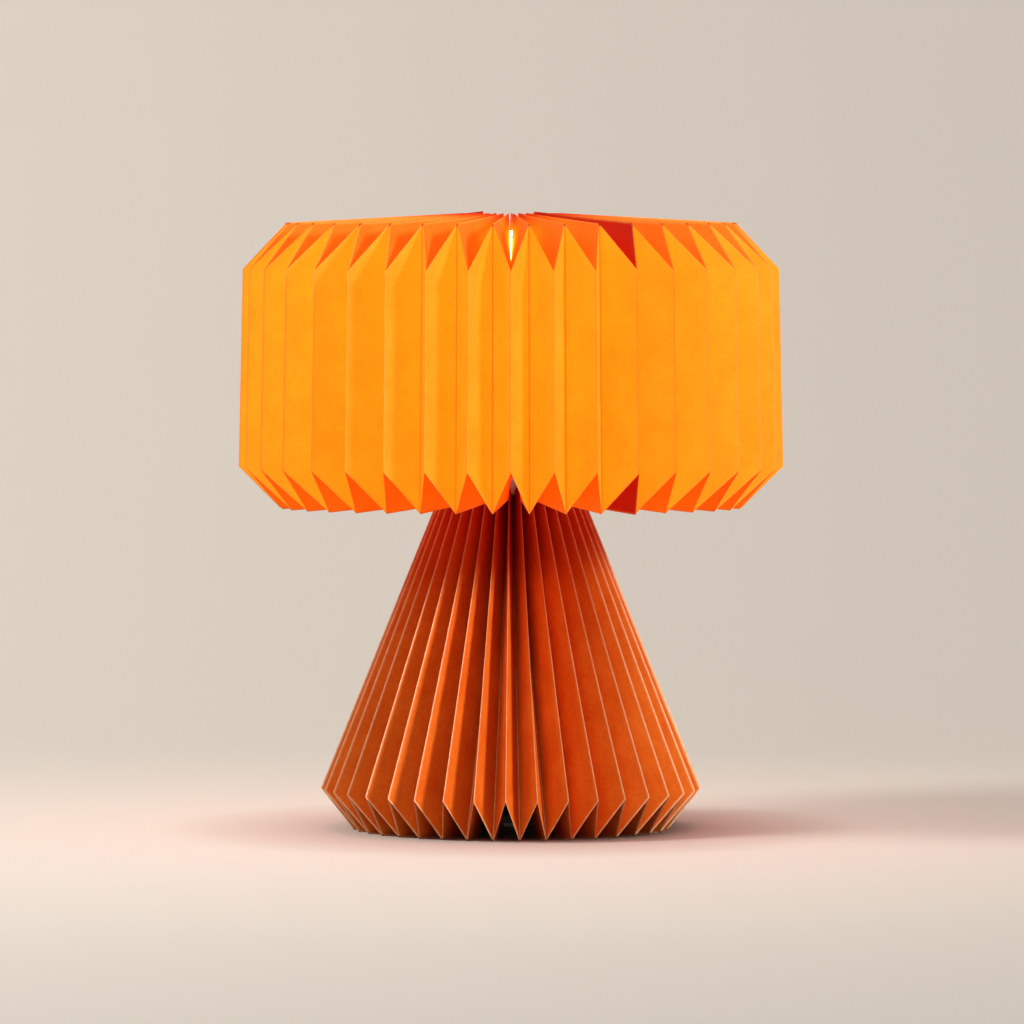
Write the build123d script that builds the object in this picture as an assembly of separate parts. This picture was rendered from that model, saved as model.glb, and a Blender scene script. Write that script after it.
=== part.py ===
from build123d import *
import os
from dataclasses import dataclass
from math import cos, hypot, radians, sin, tan

# A table lamp of pleated paper: a folded shade over a folded foot. Lengths are in
# millimetres and angles in degrees. +Z is up, the origin lies on the table under the
# lamp's centre, and the front faces -Y. Azimuths count from the front towards +X.

# ---------------------------------------------------------------- driving dimensions

# Folded paper. Pleat folds alternate: outer folds (mountains) and inner folds (valleys).
pleat_count = 38
paper = 0.3
crease_reach = 1.0  # most that the two faces of a sheet lie apart at a sharp crease
glue_film = 0.05  # in the doubled, glued seams
gather_cord_radius = 0.6

# Shade
shade_panel = 33.0  # width of one panel, from fold to fold
shade_radius = 190.0  # outer folds at their lower end
shade_taper = 3.0  # how much smaller they are at their upper end
shade_wall = 135.2  # height of an outer fold at the front
shade_sag = 2.0  # how much lower the shade's lower rim hangs at the sides
shade_roof_tuck = 32.0  # rise from an outer fold's top to the inner folds' tops
shade_floor_tuck = 29.4  # drop from an outer fold's foot to the inner folds' feet
shade_roof_slope = 3.1
shade_floor_slope = 3.0
shade_floor_twist = 2.5  # the floor's folds turn by this much on their way in
shade_roof_opening = 33.0
shade_floor_opening = 55.0
shade_bunching = 1.7  # the pleats crowd together by this much at the front and the back
shade_seam = 3  # the front seam lies this many pleats to the right of the front
shade_cord_inset = 3.0  # from an opening's edge to the cord that gathers it

# Foot
foot_panel = 33.6
foot_radius = 132.8  # outer folds at their lower end
foot_rim_height = 28.7
foot_neck_radius = 45.0
foot_height = 245.0
foot_opening = 80.0  # the floor of folded-in paper ends here
foot_turn = -1.6  # azimuth of the fold nearest the front
foot_cord_radius = 30.0  # of the ring in which the neck's cord runs
foot_cord_drop = 4.0  # of that cord below the neck's edge

# Weight plate and rubber pads
plate_thickness = 6.0
pad_radius = 9.0
pad_height = 10.0
pad_circle = 62.0
pad_count = 4
pad_edge = 1.5

# Threaded lamp pipe, nuts and washers
pipe_radius = 5.0
pipe_bore = 4.0
pipe_length = 310.0
pipe_bottom = 3.0
nut_flat = 7.0  # half the width across the flats
nut_thickness = 5.0
washer_radius = 10.0
washer_thickness = 1.2
collar_length = 20.0
cap_thickness = 1.5
cap_overhang = 2.0

# Bush in the foot of the pipe, for the supply cord
bush_bore = 3.2
bush_length = 12.0
bush_flange_radius = 5.0
bush_flange = 1.5

# Lampholder
holder_thread_depth = 10.0  # of the pipe in the skirt
skirt_radius = 17.5
skirt_neck_radius = 9.0
skirt_cone = 8.0
skirt_height = 24.0
skirt_wall = 2.0
barrel_radius = 19.5
barrel_height = 34.0
barrel_lap = 4.0  # of the barrel over the skirt
insert_flange = 4.0
insert_body_radius = 15.0
insert_height = 11.0
sleeve_wall = 0.4
sleeve_height = 21.0
contact_thickness = 0.9
contact_width = 5.0
terminal_spacing = 9.0  # from the axis to each terminal
terminal_size = 5.0
terminal_width = 5.0
terminal_pin_radius = 1.2
terminal_screw_radius = 1.5
terminal_screw_head = 1.8
lead_radius = 0.9
lead_spacing = 1.3  # from the axis to each lead in the pipe
lead_bend = 2.5
lead_exit = 1.5  # from the pipe's top to the leads' first bend
lead_arrival = 3.5  # from their second bend to the terminals

# Ring nuts and the wire carrier of the shade
ring_nut_radius = 27.0
ring_nut_thickness = 5.0
ring_nut_level = 18.0  # from the barrel's rim down to the carrier's hub
hub_radius = 30.0
hub_thickness = 1.5
carrier_radius = 45.0
carrier_rise = 50.2  # from the hub's middle to the ring's middle
carrier_wire = 1.5
carrier_arm_wire = 1.2
carrier_weld = 2.0  # lap of each arm on the hub
carrier_bend = 8.0
carrier_arms = 3

# Golf-ball lamp with a 27 mm screw cap
bulb_radius = 22.5
bulb_length = 78.0
bulb_neck_radius = 12.4
bulb_glass = 0.8
cap_radius = 13.2
cap_shell = 20.0
cap_shell_wall = 0.5
cap_groove = 0.6
cap_groove_pitch = 3.629
cap_groove_count = 4
tip_radius = 4.5
tip_height = 1.5
insulator_height = 3.5
insulator_inset = 0.3  # of its rim inside the cap's shell
neck_in_cap = 4.0
stem_radius = 3.0
stem_height = 14.0
stem_flare = 1.5  # thickness of the stem's foot
filament_radius = 0.9
filament_length = 24.0
filament_circle = 6.0
filament_count = 4
support_radius = 0.4
support_foot = 2.0  # from the axis to the lower support's leg
support_gap = 1.2

# Clearances
seat_gap = 0.3  # between parts that rest on or locate each other
bore_gap = 0.05  # pipe in its plates, nuts and skirt
screw_gap = 0.1  # screw cap in its sleeve
contact_gap = 0.1

# ---------------------------------------------------------------- pleat geometry

pitch = 360 / pleat_count
half_pitch = pitch / 2


def fold_depth(radius, panel):
    """Distance in a plane through the axis between an outer fold and an inner fold."""
    return (panel**2 - (radius * sin(radians(half_pitch))) ** 2) ** 0.5


def shade_azimuth(column):
    """Azimuth of one of the shade's folds, where even columns are outer folds."""
    even = column * half_pitch
    return even - shade_bunching * sin(radians(2 * even))


def foot_azimuth(column):
    """Azimuth of one of the foot's folds, where even columns are outer folds."""
    return column * half_pitch + foot_turn


@dataclass(frozen=True)
class Ring:
    """A ring of fold corners, with the (radius, height) of its outer and inner folds."""

    outer: tuple
    inner: tuple
    twist: float = 0.0
    sag: float = 0.0  # drop of the ring at the lamp's sides

    def fold(self, side):
        """The outer fold's corner for side 0, and the inner fold's for side 1."""
        return self.inner if side else self.outer

    def corner(self, side, azimuth, step):
        """The point at an azimuth, moved by a step in (radius, height)."""
        radius, height = self.fold(side)
        drop = self.sag * sin(radians(azimuth)) ** 2
        return at_azimuth(radius + step[0], azimuth + self.twist, height + step[1] - drop)


def at_azimuth(radius, azimuth, height):
    """The point at a radius, an azimuth and a height."""
    turn = radians(azimuth)
    return Vector(radius * sin(turn), -radius * cos(turn), height)


def direction(start, end):
    """Unit vector between two (radius, height) points."""
    length = hypot(end[0] - start[0], end[1] - start[1])
    return (end[0] - start[0]) / length, (end[1] - start[1]) / length


def outward(start, end):
    """Unit normal of a fold line, on the lamp's outer side. Rings run floor, wall, roof."""
    run, rise = direction(start, end)
    return rise, -run


def skin_step(here, beside, normal):
    """How far the inner face of a sheet lies behind its outer face along a fold."""
    turn = radians(half_pitch)
    across = beside[0] * sin(turn)
    along = (beside[0] * cos(turn) - here[0]) * normal[0] + (beside[1] - here[1]) * normal[1]
    return min(paper * hypot(along, across) / across, crease_reach)


def skin_shift(rings, index, side):
    """Step in (radius, height) from the outer face to the inner face at one corner.

    side is 0 on an outer fold and 1 on an inner fold. Where two fold lines meet, both
    faces of the sheet do too.
    """
    here = rings[index].fold(side)
    beside = rings[index].fold(1 - side)
    normals = []
    if index > 0:
        normals.append(outward(rings[index - 1].fold(side), here))
    if index < len(rings) - 1:
        normals.append(outward(here, rings[index + 1].fold(side)))
    steps = [skin_step(here, beside, normal) for normal in normals]
    if len(normals) == 1:
        return -steps[0] * normals[0][0], -steps[0] * normals[0][1]
    (a, b), (c, d) = normals
    spread = a * d - b * c
    return (steps[1] * b - steps[0] * d) / spread, (steps[0] * c - steps[1] * a) / spread


def quad(start_a, end_a, start_b, end_b):
    """The ruled face between two lines."""
    return Face.make_surface_from_curves(
        Edge.make_line(start_a, end_a), Edge.make_line(start_b, end_b)
    )


def pleated_sheet(rings, azimuth, first, panels, tab_outside):
    """One folded sheet as a solid.

    The rings run from the floor's inner edge to the last edge. The sheet begins at column
    first, and its last panel is a glue tab that doubles the first panel of the sheet
    beside it.
    """
    lift = 1 + glue_film / paper
    tab_shift = -lift if tab_outside else lift

    def face_corners(depth):
        grid = []
        for index, ring in enumerate(rings):
            line = []
            for column in range(first, first + panels + 1):
                side = column % 2
                in_tab = column >= first + panels - 1
                share = depth + (tab_shift if in_tab else 0)
                step = [share * part for part in skin_shift(rings, index, side)]
                line.append(ring.corner(side, azimuth(column), step))
            grid.append(line)
        return grid

    front = face_corners(0)
    back = face_corners(1)
    last = len(rings) - 1
    faces = []
    for low, high in zip(range(last), range(1, last + 1)):
        for left, right in zip(range(panels), range(1, panels + 1)):
            for grid in (front, back):
                faces.append(quad(grid[low][left], grid[high][left], grid[low][right], grid[high][right]))
        for end in (0, panels):
            faces.append(quad(front[low][end], front[high][end], back[low][end], back[high][end]))
    for edge in (0, last):
        for left, right in zip(range(panels), range(1, panels + 1)):
            faces.append(quad(front[edge][left], front[edge][right], back[edge][left], back[edge][right]))
    return Solid(Shell(faces))


# ---------------------------------------------------------------- levels and places

plate_bottom = pad_height
plate_top = plate_bottom + plate_thickness
plate_radius = foot_opening - seat_gap

pipe_top = pipe_bottom + pipe_length
skirt_bottom = pipe_top - holder_thread_depth
skirt_top = skirt_bottom + skirt_height
barrel_rim = skirt_top + barrel_height
insert_top = skirt_top + insert_height
tip_bottom = insert_top + contact_thickness + contact_gap
insulator_bottom = tip_bottom + tip_height
cap_bottom = insulator_bottom + insulator_height
cap_top = cap_bottom + cap_shell
bulb_centre = tip_bottom + bulb_length - bulb_radius

hub_level = barrel_rim - ring_nut_level
carrier_level = hub_level + carrier_rise

# The roof's inner folds in the wall become its ridges, and its outer folds its hollows.
shade_top_radius = shade_radius - shade_taper
turn = radians(half_pitch)
shade_inner_top = shade_top_radius * cos(turn) - fold_depth(shade_top_radius, shade_panel)
shade_inner_low = shade_radius * cos(turn) - fold_depth(shade_radius, shade_panel)
shade_inner_taper = (shade_inner_low - shade_inner_top) / shade_wall
shade_ridge_radius = shade_inner_top - shade_inner_taper * shade_roof_tuck
shade_keel_radius = shade_inner_low + shade_inner_taper * shade_floor_tuck

ridge_rise = (shade_ridge_radius - shade_roof_opening) * tan(radians(shade_roof_slope))
hollow_rise = shade_roof_tuck + ridge_rise - fold_depth(shade_roof_opening, shade_panel)
hollow_run = shade_top_radius - shade_roof_opening
rise_at_carrier = hollow_rise * (shade_top_radius - carrier_radius) / hollow_run
shade_shoulder = carrier_level + carrier_wire + seat_gap + crease_reach - rise_at_carrier
shade_rim = shade_shoulder - shade_wall
shade_ridge = shade_shoulder + shade_roof_tuck
shade_keel = shade_rim - shade_floor_tuck
floor_rise = (shade_keel_radius - shade_floor_opening) * tan(radians(shade_floor_slope))
floor_edge = shade_keel + floor_rise

shade_rings = [
    Ring(
        outer=(shade_floor_opening, floor_edge + fold_depth(shade_floor_opening, shade_panel)),
        inner=(shade_floor_opening, floor_edge),
        twist=shade_floor_twist,
    ),
    Ring(
        outer=(shade_radius, shade_rim),
        inner=(shade_keel_radius, shade_keel),
        sag=shade_sag,
    ),
    Ring(
        outer=(shade_top_radius, shade_shoulder),
        inner=(shade_ridge_radius, shade_ridge),
    ),
    Ring(
        outer=(shade_roof_opening, shade_shoulder + hollow_rise),
        inner=(shade_roof_opening, shade_ridge + ridge_rise),
    ),
]

# The foot's inner folds run parallel to its slanting outer folds, down to the table.
slant = direction((foot_radius, foot_rim_height), (foot_neck_radius, foot_height))
neck_depth = fold_depth(foot_neck_radius, foot_panel)
rim_depth = fold_depth(foot_radius, foot_panel)
neck_inner = (foot_neck_radius - neck_depth * slant[1], foot_height + neck_depth * slant[0])
rim_inner = (foot_radius - rim_depth * slant[1], foot_rim_height + rim_depth * slant[0])
inner_slope = (rim_inner[0] - neck_inner[0]) / (neck_inner[1] - rim_inner[1])
foot_tip_radius = rim_inner[0] + inner_slope * rim_inner[1]

foot_rings = [
    Ring(outer=(foot_opening, fold_depth(foot_opening, foot_panel)), inner=(foot_opening, 0.0)),
    Ring(outer=(foot_radius, foot_rim_height), inner=(foot_tip_radius, 0.0)),
    Ring(outer=(foot_neck_radius, foot_height), inner=neck_inner),
]

# The cap closes the neck, and the collar under it fills the neck's core.
cap_level = foot_height + seat_gap
collar_radius = neck_inner[0] - (2 + glue_film / paper) * crease_reach - seat_gap


# ---------------------------------------------------------------- small shapes


def disc(radius, low, high):
    """A solid disc between two heights."""
    return Pos(0, 0, low) * Cylinder(
        radius, high - low, align=(Align.CENTER, Align.CENTER, Align.MIN)
    )


def tube(radius, bore, low, high):
    """A hollow cylinder between two heights."""
    return disc(radius, low, high) - disc(bore, low, high)


def turned(points):
    """A solid of revolution about the lamp's axis from (radius, height) points."""
    outline = Polyline(*[(radius, height) for radius, height in points], close=True)
    return revolve(Plane.XZ * make_face(outline), Axis.Z)


def hoop(radius, wire, height):
    """A closed ring of round wire."""
    return Pos(0, 0, height) * Torus(radius, wire)


def hex_nut(low):
    """A nut on the lamp pipe."""
    blank = extrude(RegularPolygon(nut_flat, 6, major_radius=False), nut_thickness)
    return Pos(0, 0, low) * blank - disc(pipe_radius + bore_gap, low, low + nut_thickness)


def washer(low):
    """A washer on the lamp pipe."""
    return tube(washer_radius, pipe_radius + bore_gap, low, low + washer_thickness)


def rod(start, end, radius):
    """A round rod between two points."""
    path = Edge.make_line(start, end)
    return sweep(Plane(start, z_dir=path % 0) * Circle(radius), path)


def swept(points, bend, radius):
    """A round wire along a route with equal bends."""
    path = FilletPolyline(*points, radius=bend)
    return sweep(Plane(points[0], z_dir=path % 0) * Circle(radius), path)


# ---------------------------------------------------------------- sub-parts


def shade_sheets():
    """The two glued sheets of the shade, each half of the way round."""
    seam_column = round(2 * shade_seam)
    right = pleated_sheet(shade_rings, shade_azimuth, seam_column, pleat_count + 1, True)
    return {"shade_sheet_right": right, "shade_sheet_left": Rot(0, 0, 180) * right}


def gather_cords():
    """The cords that draw the pleats together round the shade's two openings."""
    roof = shade_shoulder + hollow_rise + fold_depth(shade_roof_opening, shade_panel) / 2
    floor = floor_edge + fold_depth(shade_floor_opening, shade_panel) / 2
    return {
        "roof_gather_cord": hoop(shade_roof_opening + shade_cord_inset, gather_cord_radius, roof),
        "floor_gather_cord": hoop(shade_floor_opening + shade_cord_inset, gather_cord_radius, floor),
    }


def foot_sheet():
    """The foot's one sheet, closed by a glued seam at the back."""
    return pleated_sheet(foot_rings, foot_azimuth, pleat_count, 2 * pleat_count + 1, False)


def foot_cord():
    """The cord through the foot's neck. Its level follows the neck's slanting edge."""
    inset = (foot_neck_radius - foot_cord_radius) / (foot_neck_radius - neck_inner[0])
    edge = foot_height - inset * (foot_height - neck_inner[1])
    return hoop(foot_cord_radius, gather_cord_radius, edge - foot_cord_drop)


def neck_stack():
    """Collar and cap that hold the foot's neck on the pipe, with a nut below and above."""
    bore = pipe_radius + bore_gap
    collar_bottom = cap_level - collar_length
    cap_top_level = cap_level + cap_thickness
    return {
        "neck_collar": tube(collar_radius, bore, collar_bottom, cap_level),
        "neck_cap": tube(foot_neck_radius + cap_overhang, bore, cap_level, cap_top_level),
        "neck_nuts": [hex_nut(collar_bottom - nut_thickness), hex_nut(cap_top_level)],
    }


def weight_group():
    """Steel plate that weights the foot, its pads, and the nuts that clamp it."""
    plate = tube(plate_radius, pipe_radius + bore_gap, plate_bottom, plate_top)
    plate = chamfer(plate.edges().filter_by(GeomType.CIRCLE).sort_by(SortBy.RADIUS)[-2:], 0.8)
    pad = disc(pad_radius, 0, pad_height)
    pad = fillet(pad.edges().group_by(Axis.Z)[0], pad_edge)
    places = PolarLocations(pad_circle, pad_count, start_angle=45)
    low_washer = plate_bottom - washer_thickness
    return {
        "weight_plate": plate,
        "rubber_pads": [place * pad for place in places],
        "plate_washers": [washer(low_washer), washer(plate_top)],
        "plate_nuts": [hex_nut(low_washer - nut_thickness), hex_nut(plate_top + washer_thickness)],
    }


def pipe_group():
    """Threaded pipe, and the bush in its foot where the supply cord comes in."""
    flange = tube(bush_flange_radius, bush_bore, pipe_bottom - bush_flange, pipe_bottom)
    sleeve = tube(pipe_bore - bore_gap, bush_bore, pipe_bottom, pipe_bottom + bush_length - bush_flange)
    return {
        "lamp_pipe": tube(pipe_radius, pipe_bore, pipe_bottom, pipe_top),
        "cord_bush": flange + sleeve,
    }


def lead_wires():
    """The two leads from the cord bush to the lampholder's terminals."""
    start = pipe_bottom + bush_length - bush_flange
    end = skirt_top - terminal_size
    leads = []
    for side in (-1, 1):
        inner = side * lead_spacing
        outer = side * terminal_spacing
        exit_bend = (inner, 0, pipe_top + lead_exit)
        arrival_bend = (outer, 0, end - lead_arrival)
        route = [(inner, 0, start), exit_bend, arrival_bend, (outer, 0, end)]
        leads.append(swept(route, lead_bend, lead_radius))
    return leads


def lampholder():
    """Skirt, barrel, insert, screw sleeve and contacts."""
    bore = pipe_radius + bore_gap
    cone_top = skirt_bottom + skirt_cone
    inside = skirt_radius - skirt_wall
    skirt = turned(
        [
            (bore, skirt_bottom),
            (skirt_neck_radius, skirt_bottom),
            (skirt_radius, cone_top),
            (skirt_radius, skirt_top),
            (inside, skirt_top),
            (inside, cone_top + skirt_wall),
            (bore, cone_top + skirt_wall),
        ]
    )
    shoulder = skirt_top + insert_flange + seat_gap
    lap_bore = skirt_radius + screw_gap
    barrel = turned(
        [
            (lap_bore, skirt_top - barrel_lap),
            (barrel_radius, skirt_top - barrel_lap),
            (barrel_radius, barrel_rim),
            (insert_body_radius + seat_gap, barrel_rim),
            (insert_body_radius + seat_gap, shoulder),
            (lap_bore, shoulder),
        ]
    )
    insert = disc(skirt_radius - screw_gap, skirt_top, skirt_top + insert_flange)
    insert += disc(insert_body_radius, skirt_top + insert_flange, insert_top)
    for side in (-1, 1):
        hole = disc(terminal_pin_radius + bore_gap, skirt_top, insert_top)
        insert -= Pos(side * terminal_spacing, 0, 0) * hole
    sleeve_bore = cap_radius + screw_gap
    sleeve_radius = sleeve_bore + sleeve_wall
    sleeve = tube(sleeve_radius, sleeve_bore, insert_top, insert_top + sleeve_height)
    tab_start = terminal_spacing - terminal_pin_radius
    tab = Box(
        sleeve_radius - sleeve_wall / 2 - tab_start,
        contact_width,
        sleeve_wall,
        align=(Align.MIN, Align.CENTER, Align.MIN),
    )
    sleeve += Pos(tab_start, 0, insert_top) * tab
    contact_reach = terminal_spacing + terminal_pin_radius
    contact = Box(
        contact_reach + tip_radius,
        contact_width,
        contact_thickness,
        align=(Align.MIN, Align.CENTER, Align.MIN),
    )
    return {
        "holder_skirt": skirt,
        "holder_barrel": barrel,
        "holder_insert": insert,
        "holder_screw_sleeve": sleeve,
        "holder_centre_contact": Pos(-contact_reach, 0, insert_top) * contact,
    }


def terminals():
    """Terminal blocks under the insert, their pins through it, and their screws."""
    blocks = []
    screws = []
    align = (Align.CENTER, Align.CENTER, Align.MAX)
    for side in (-1, 1):
        block = Pos(side * terminal_spacing, 0, skirt_top) * Box(
            terminal_size, terminal_width, terminal_size, align=align
        )
        block += Pos(side * terminal_spacing, 0, 0) * disc(terminal_pin_radius, skirt_top, insert_top)
        blocks.append(block)
        face = side * (terminal_spacing + terminal_size / 2)
        level = skirt_top - terminal_size / 2
        head = face + side * terminal_screw_head
        screws.append(rod((face, 0, level), (head, 0, level), terminal_screw_radius))
    return {"terminal_blocks": blocks, "terminal_screws": screws}


def carrier_group():
    """Wire carrier that the shade hangs on, and the two ring nuts that clamp its hub."""
    bore = barrel_radius + bore_gap
    hub_low = hub_level - hub_thickness / 2
    hub_high = hub_level + hub_thickness / 2
    carrier = tube(hub_radius, bore, hub_low, hub_high)
    carrier += hoop(carrier_radius, carrier_wire, carrier_level)
    start = (hub_radius - carrier_weld, 0, hub_level)
    route = [start, (carrier_radius, 0, hub_level), (carrier_radius, 0, carrier_level)]
    arm = swept(route, carrier_bend, carrier_arm_wire)
    for index in range(carrier_arms):
        carrier += Rot(0, 0, index * 360 / carrier_arms + 90) * arm
    lower = tube(ring_nut_radius, bore, hub_low - ring_nut_thickness, hub_low)
    upper = tube(ring_nut_radius, bore, hub_high, hub_high + ring_nut_thickness)
    return {"shade_carrier": carrier, "ring_nuts": [lower, upper]}


def bulb():
    """Golf-ball lamp: screw cap, glass, stem, filaments and their supports."""
    shell = tube(cap_radius, cap_radius - cap_shell_wall, cap_bottom, cap_top)
    for index in range(cap_groove_count):
        level = cap_bottom + (index + 1) * cap_groove_pitch
        shell -= hoop(cap_radius + cap_groove / 4, cap_groove / 2, level)
    rim_height = bulb_centre - (bulb_radius**2 - bulb_neck_radius**2) ** 0.5
    inner = bulb_radius - bulb_glass
    inner_neck = bulb_neck_radius - bulb_glass
    neck_bottom = cap_top - neck_in_cap
    glass = disc(bulb_neck_radius, neck_bottom, rim_height) + Pos(0, 0, bulb_centre) * Sphere(bulb_radius)
    hollow = disc(inner_neck, neck_bottom, rim_height) + Pos(0, 0, bulb_centre) * Sphere(inner)
    glass -= hollow
    stem_top = neck_bottom + stem_height
    flare = disc(inner_neck - screw_gap, neck_bottom, neck_bottom + stem_flare)
    stem = flare + disc(stem_radius, neck_bottom, stem_top)
    low = stem_top + support_gap
    high = low + filament_length
    places = PolarLocations(filament_circle, filament_count)
    filaments = [place * disc(filament_radius, low, high) for place in places]
    return_level = high + support_radius
    mast = disc(support_radius, stem_top, return_level)
    mast += hoop(filament_circle, support_radius, return_level)
    mast += rod((-filament_circle, 0, return_level), (filament_circle, 0, return_level), support_radius)
    feed_level = low - support_radius
    feed = hoop(filament_circle, support_radius, feed_level)
    feed += rod((support_foot, 0, feed_level), (filament_circle, 0, feed_level), support_radius)
    feed += Pos(support_foot, 0, 0) * disc(support_radius, stem_top, feed_level)
    return {
        "bulb_cap": shell,
        "bulb_glass": glass,
        "bulb_stem": stem,
        "bulb_filaments": filaments,
        "bulb_supports": [mast, feed],
    }


def bulb_tip():
    """Contact at the foot of the bulb and the insulator round it."""
    cone = Pos(0, 0, insulator_bottom) * Cone(
        tip_radius,
        cap_radius - insulator_inset,
        insulator_height - bore_gap,
        align=(Align.CENTER, Align.CENTER, Align.MIN),
    )
    return {"bulb_tip": disc(tip_radius, tip_bottom, insulator_bottom), "bulb_insulator": cone}


def main():
    """Writes each sub-part to its own file in parts/."""
    nodes = {"foot_sheet": foot_sheet(), "foot_gather_cord": foot_cord(), "lead_wires": lead_wires()}
    groups = (shade_sheets, gather_cords, neck_stack, weight_group, pipe_group, lampholder)
    for group in groups + (terminals, carrier_group, bulb, bulb_tip):
        nodes.update(group())
    os.makedirs("parts", exist_ok=True)
    for name, shape in nodes.items():
        solids = shape if isinstance(shape, list) else [shape]
        export_step(Compound(label=name, children=[Part(s.wrapped) for s in solids]), f"parts/{name}.step")
    print(f"shade {shade_keel:.1f} to {shade_ridge + ridge_rise:.1f} mm high, shoulder {shade_shoulder:.1f}")
    print(f"bulb top {bulb_centre + bulb_radius:.1f} mm, foot tips at radius {foot_tip_radius:.1f} mm")


main()
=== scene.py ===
"""Dresses the pleated paper table lamp.

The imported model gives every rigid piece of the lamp. This file folds the paper sheets
again with their bowed panels, soft creases and light, twists the gathering threads, and
gives every other piece its finish. Lengths are in metres and angles in radians. The
origin lies on the table under the lamp's centre, +Z is up and the front faces -Y.
Azimuths count from the front towards +X.
"""
import logging
from dataclasses import dataclass, field
from enum import Enum
from math import atan2, cos, hypot, pi, radians, sin, tan
from typing import Any

import bpy
import numpy as np
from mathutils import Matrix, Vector


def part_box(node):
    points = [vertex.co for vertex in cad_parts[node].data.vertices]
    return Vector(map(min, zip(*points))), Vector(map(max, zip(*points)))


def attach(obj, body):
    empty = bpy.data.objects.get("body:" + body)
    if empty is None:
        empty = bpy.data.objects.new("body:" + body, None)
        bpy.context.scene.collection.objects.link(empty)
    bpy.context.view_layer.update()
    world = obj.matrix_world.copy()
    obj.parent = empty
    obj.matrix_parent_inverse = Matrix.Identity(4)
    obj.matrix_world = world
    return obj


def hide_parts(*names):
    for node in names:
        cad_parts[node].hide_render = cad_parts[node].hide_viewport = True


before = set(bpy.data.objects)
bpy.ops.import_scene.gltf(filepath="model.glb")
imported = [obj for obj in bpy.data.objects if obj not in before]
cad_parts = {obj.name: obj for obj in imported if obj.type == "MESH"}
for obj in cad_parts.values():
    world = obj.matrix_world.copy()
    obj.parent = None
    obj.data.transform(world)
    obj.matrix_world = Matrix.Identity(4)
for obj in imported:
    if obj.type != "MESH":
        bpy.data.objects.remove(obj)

Triple = tuple[float, float, float]
Colour = tuple[float, float, float]
Corner = tuple[float, float]
Socket = bpy.types.NodeSocket

log = logging.getLogger("lamp")
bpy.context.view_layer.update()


# ---------------------------------------------------------------- meshes from grids


@dataclass
class Skin:
    """A mesh in the making: points, faces and what is painted on the points.

    Fields: points as (n, 3), faces as (m, 4) corner indices, uv as (n, 2) in metres and
    paint as named arrays with one number or one colour for each point.
    """

    points: np.ndarray
    faces: np.ndarray
    uv: np.ndarray
    paint: dict[str, np.ndarray] = field(default_factory=dict)

    def piece(self, name: str, sharp: float = radians(30)) -> bpy.types.Object:
        """Makes the Blender object.

        Args:
            name: the piece's name.
            sharp: folds over this angle are shaded sharp.

        Returns:
            The new object, at the origin.
        """
        mesh = bpy.data.meshes.new(name)
        mesh.vertices.add(len(self.points))
        mesh.vertices.foreach_set("co", self.points.astype(np.float32).ravel())
        mesh.loops.add(self.faces.size)
        mesh.loops.foreach_set("vertex_index", self.faces.astype(np.int32).ravel())
        mesh.polygons.add(len(self.faces))
        starts = np.arange(0, self.faces.size, 4, dtype=np.int32)
        mesh.polygons.foreach_set("loop_start", starts)
        mesh.update(calc_edges=True)
        layer = mesh.uv_layers.new(name="UVMap")
        layer.data.foreach_set("uv", self.uv[self.faces.ravel()].astype(np.float32).ravel())
        for key, values in self.paint.items():
            if values.ndim == 1:
                layer = mesh.attributes.new(key, "FLOAT", "POINT")
                layer.data.foreach_set("value", values.astype(np.float32))
            else:
                full = np.ones((len(values), 4), dtype=np.float32)
                full[:, :3] = values
                layer = mesh.attributes.new(key, "FLOAT_COLOR", "POINT")
                layer.data.foreach_set("color", full.ravel())
        mesh.polygons.foreach_set("use_smooth", np.ones(len(self.faces), dtype=bool))
        mesh.set_sharp_from_angle(angle=sharp)
        mesh.validate()
        made = bpy.data.objects.new(name, mesh)
        bpy.context.scene.collection.objects.link(made)
        return made


def grid_faces(rows: int, columns: int, first: int = 0, closed: bool = False) -> np.ndarray:
    """Four-cornered faces of a grid whose points are numbered row by row.

    Args:
        rows: points along the first parameter.
        columns: points along the second parameter.
        first: number of the grid's first point.
        closed: the last row joins the first, and so does the last column.

    Returns:
        (m, 4) corner indices. A face's normal is column direction times row direction.
    """
    row = np.arange(rows if closed else rows - 1)[:, None]
    column = np.arange(columns if closed else columns - 1)[None, :]
    above, beside = (row + 1) % rows * columns, (column + 1) % columns
    row = row * columns
    return first + flat_stack(row + column, row + beside, above + beside, above + column)


def flat_stack(*parts: np.ndarray) -> np.ndarray:
    """Grids that fill each other out, stacked as the columns of one long table."""
    return np.stack(np.broadcast_arrays(*parts), axis=-1).reshape(-1, len(parts))


def ease(edge_low: float, edge_high: float, value: np.ndarray) -> np.ndarray:
    """A smooth step from 0 at edge_low to 1 at edge_high: three x squared less two x cubed."""
    share = np.clip((value - edge_low) / (edge_high - edge_low), 0.0, 1.0)
    return share * share * (3.0 - 2.0 * share)


# ---------------------------------------------------------------- materials


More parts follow.
